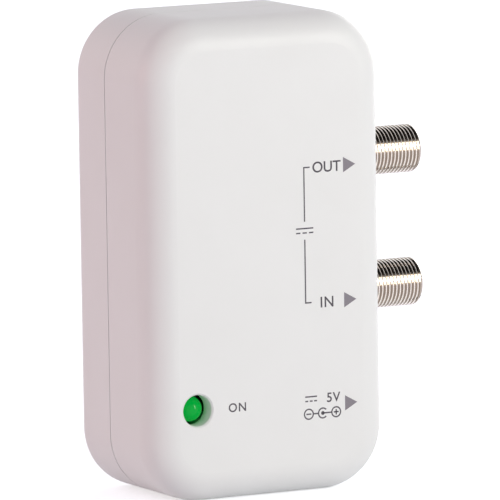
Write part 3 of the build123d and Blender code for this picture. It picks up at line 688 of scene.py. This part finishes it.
def wind_wire(shape, end, centre, axis, turns, advance):
    """Winds the wire round the axis by so many turns, while it advances by the vector in all."""
    verts = list({vert for edge in end for vert in edge.verts})
    steps = round(wire_turn_steps * turns)
    made = bmesh.ops.spin(
        shape,
        geom=verts + end,
        cent=centre,
        axis=axis,
        dvec=Vector(advance) / steps,
        angle=math.radians(360 * turns),
        steps=steps,
    )
    return [part for part in made["geom_last"] if isinstance(part, bmesh.types.BMEdge)]


# Two air coils lie on the board, wound round a pin that is then taken out
coil_wire = 0.5
coil_turns = 6
low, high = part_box("air_coils")
coil_radius = (high.y - low.y) / 2 / mm
coil_length = (high.x - low.x) / mm
x = low.x / mm + coil_wire / 2
y = (low.y + high.y) / 2 / mm
shape = bmesh.new()
for z in (low.z / mm + coil_radius, high.z / mm - coil_radius):
    end = start_wire(shape, (x, y + coil_radius - coil_wire / 2, z), (0, 0, 1), coil_wire)
    end = wind_wire(shape, end, (x, y, z), (1, 0, 0), coil_turns, (coil_length - coil_wire, 0, 0))
    bmesh.ops.contextual_create(shape, geom=end)
bmesh.ops.recalc_face_normals(shape, faces=shape.faces)
finish_piece(shape, "wound_air_coils", enamel, "copper_wire", "air_coils", smooth=50)

# The choke is wound in three layers between its flanges
choke_wire = 0.33
choke_layers = 3
low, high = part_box("choke_winding")
centre = (low + high) / 2 / mm
choke_length = (high.y - low.y) / mm
choke_turns = math.floor((choke_length - choke_wire) / choke_wire)
y = low.y / mm + choke_wire / 2
advance = (0, choke_length - choke_wire, 0)
shape = bmesh.new()
for layer in range(choke_layers):
    radius = (high.x - low.x) / 2 / mm - choke_wire * (layer + 0.5)
    end = start_wire(shape, (centre.x + radius, y, centre.z), (0, 0, 1), choke_wire)
    end = wind_wire(shape, end, (centre.x, y, centre.z), (0, 1, 0), choke_turns, advance)
    bmesh.ops.contextual_create(shape, geom=end)
bmesh.ops.recalc_face_normals(shape, faces=shape.faces)
finish_piece(shape, "wound_choke", enamel, "copper_wire", "choke_winding", smooth=50)

# Three turns pass through both holes of the transformer's core
loop_wire = 0.36
loop_turns = 3
loop_corner = 0.5
loop_inset = 0.3
low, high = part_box("ferrite_winding")
low = low / mm + Vector((loop_inset, loop_wire / 2, loop_inset))
high = high / mm - Vector((loop_inset, loop_wire / 2, loop_inset))
left, right = low.x + loop_corner, high.x - loop_corner
bottom, top = low.z + loop_corner, high.z - loop_corner
loop_height = high.z - low.z - 2 * loop_corner
loop_width = high.x - low.x - 2 * loop_corner
loop_pitch = (high.y - low.y) / (loop_turns - 1)
corner = ((0, 1, 0), 0.25, (0, 0, 0))
shape = bmesh.new()
end = start_wire(shape, (low.x, low.y, bottom), (0, 0, 1), loop_wire)
for turn in range(loop_turns):
    y = low.y + turn * loop_pitch
    end = lead_wire(shape, end, (0, 0, loop_height))
    end = wind_wire(shape, end, (left, y, top), *corner)
    end = lead_wire(shape, end, (loop_width, 0, 0))
    end = wind_wire(shape, end, (right, y, top), *corner)
    end = lead_wire(shape, end, (0, 0, -loop_height))
    if turn < loop_turns - 1:
        end = wind_wire(shape, end, (right, y, bottom), *corner)
        end = lead_wire(shape, end, (-loop_width, loop_pitch, 0))
        end = wind_wire(shape, end, (left, y + loop_pitch, bottom), *corner)
bmesh.ops.contextual_create(shape, geom=end)
bmesh.ops.recalc_face_normals(shape, faces=shape.faces)
finish_piece(shape, "wound_transformer_loops", enamel, "copper_wire", "ferrite_winding", smooth=50)

# Chip capacitors and resistors, pressed and fired in ceramic and soldered to the board. The ceramic is tan
# and matt with a faint mottle.
ceramic_patch = 0.3 * mm
chip_ceramic, tree, place = start_material("fired_ceramic")
_, tint = add_two_tone(tree, place, ceramic_patch, 2.0, "#C3A98A", "#AE9474")
shader = add_node(tree, "ShaderNodeBsdfPrincipled", {"Roughness": 0.55}, {"Base Color": tint})
finish_material(chip_ceramic, shader, "chip_capacitors", "chip_resistors")

# Floor and surroundings: a pale studio sweep. What the camera, gloss and glass see of it is white, and the
# floor still takes the soft shadow of the case.
floor_size = 6.0
floor_lift = 0.6
ambient = 0.57


def add_seen(tree):
    """Gives 1 for a ray from the camera, or one that gloss or glass sends on, and 0 for other rays."""
    path = add_node(tree, "ShaderNodeLightPath").outputs
    seen = path["Is Camera Ray"]
    for kind in ("Is Glossy Ray", "Is Transmission Ray"):
        larger = add_node(tree, "ShaderNodeMath", links={0: seen, 1: path[kind]}, operation="MAXIMUM")
        seen = larger.outputs[0]
    return seen


floor_paint, tree, place = start_material("pale_studio_floor")
lift = add_node(tree, "ShaderNodeMath", {1: floor_lift}, {0: add_seen(tree)}, operation="MULTIPLY")
shader = add_node(
    tree,
    "ShaderNodeBsdfPrincipled",
    {"Base Color": linear("#E4E6EC"), "Roughness": 0.9, "Emission Color": (1, 1, 1, 1)},
    {"Emission Strength": lift.outputs[0]},
)
finish_material(floor_paint, shader)
shape = bmesh.new()
bmesh.ops.create_grid(shape, x_segments=8, y_segments=8, size=floor_size / 2)
floor = add_object("studio_floor", end_shape(shape, "studio_floor"))
floor.data.materials.append(floor_paint)

world = bpy.data.worlds.new("studio")
bpy.context.scene.world = world
world.use_nodes = True
tree = world.node_tree
tree.nodes.clear()
seen = add_seen(tree)
# The studio is white up to above the lamps, and its ceiling is dark
direction = add_node(tree, "ShaderNodeTexCoord").outputs["Generated"]
height = add_node(tree, "ShaderNodeSeparateXYZ", links={0: direction})
ceiling = add_node(
    tree,
    "ShaderNodeMapRange",
    {"From Min": 0.5, "From Max": 0.72, "To Min": 1.0, "To Max": 0.02},
    {"Value": height.outputs[2]},
    interpolation_type="SMOOTHSTEP",
)
level = add_node(tree, "ShaderNodeMix", {2: ambient}, {0: seen, 3: ceiling.outputs[0]})
colours = {6: linear("#F4F2FC"), 7: linear("#FFFFFF")}
cool = add_node(tree, "ShaderNodeMix", colours, {0: seen}, data_type="RGBA")
sky = add_node(
    tree, "ShaderNodeBackground", links={"Color": cool.outputs[2], "Strength": level.outputs[0]}
)
add_node(tree, "ShaderNodeOutputWorld", links={"Surface": sky.outputs[0]})

# Lamps of the studio: a tall soft box in front on the right with its hot centre, a weaker pink one on the
# left, and one behind on the right, which lights the wall that the ports stand on.
case_middle = Vector((0, 0, 47)) * mm
for name, spot, width, tall, power, colour in (
    ("front_soft_box", (0.53, -0.90, 0.33), 0.24, 0.64, 3.45, "#FFFFF4"),
    ("front_hot_centre", (0.52, -0.88, 0.33), 0.14, 0.14, 1.2, "#FFFFF4"),
    ("left_soft_box", (-1.1, 0.1, 0.25), 0.7, 0.7, 2.5, "#FFAC93"),
    ("right_soft_box", (0.88, 0.68, 0.25), 0.6, 0.6, 3.2, "#FFFFFF"),
):
    lamp = bpy.data.lights.new(name, "AREA")
    lamp.shape = "RECTANGLE"
    lamp.size = width
    lamp.size_y = tall
    lamp.energy = power
    lamp.color = linear(colour)[:3]
    holder = add_object(name, lamp)
    holder.location = spot
    holder.rotation_mode = "QUATERNION"
    holder.rotation_quaternion = (case_middle - Vector(spot)).to_track_quat("-Z", "Y")

# Camera at the photograph's angle: from the left and a little above, far off, with a long lens.
camera_yaw = math.radians(27.8)
camera_pitch = math.radians(7.47)
camera_roll = math.radians(0.87)
camera_distance = 1.6
picture_size = 500
pixels_per_metre = 5120
case_pixel = (231.46, 249.07)
aim = (picture_size / 2 - case_pixel[0], case_pixel[1] - picture_size / 2)
back = Vector((
    -math.sin(camera_yaw) * math.cos(camera_pitch),
    -math.cos(camera_yaw) * math.cos(camera_pitch),
    math.sin(camera_pitch),
))
level_right = Vector((math.cos(camera_yaw), -math.sin(camera_yaw), 0))
level_up = back.cross(level_right)
right = math.cos(camera_roll) * level_right - math.sin(camera_roll) * level_up
up = math.sin(camera_roll) * level_right + math.cos(camera_roll) * level_up
lens = bpy.data.cameras.new("camera")
lens.sensor_width = 36
lens.lens = lens.sensor_width * pixels_per_metre * camera_distance / picture_size
camera = add_object("camera", lens)
spot = case_middle + (aim[0] * right + aim[1] * up) / pixels_per_metre + camera_distance * back
camera.matrix_world = Matrix((
    (right.x, up.x, back.x, spot.x),
    (right.y, up.y, back.y, spot.y),
    (right.z, up.z, back.z, spot.z),
    (0, 0, 0, 1),
))
bpy.context.scene.camera = camera
bpy.context.scene.view_settings.view_transform = "Standard"
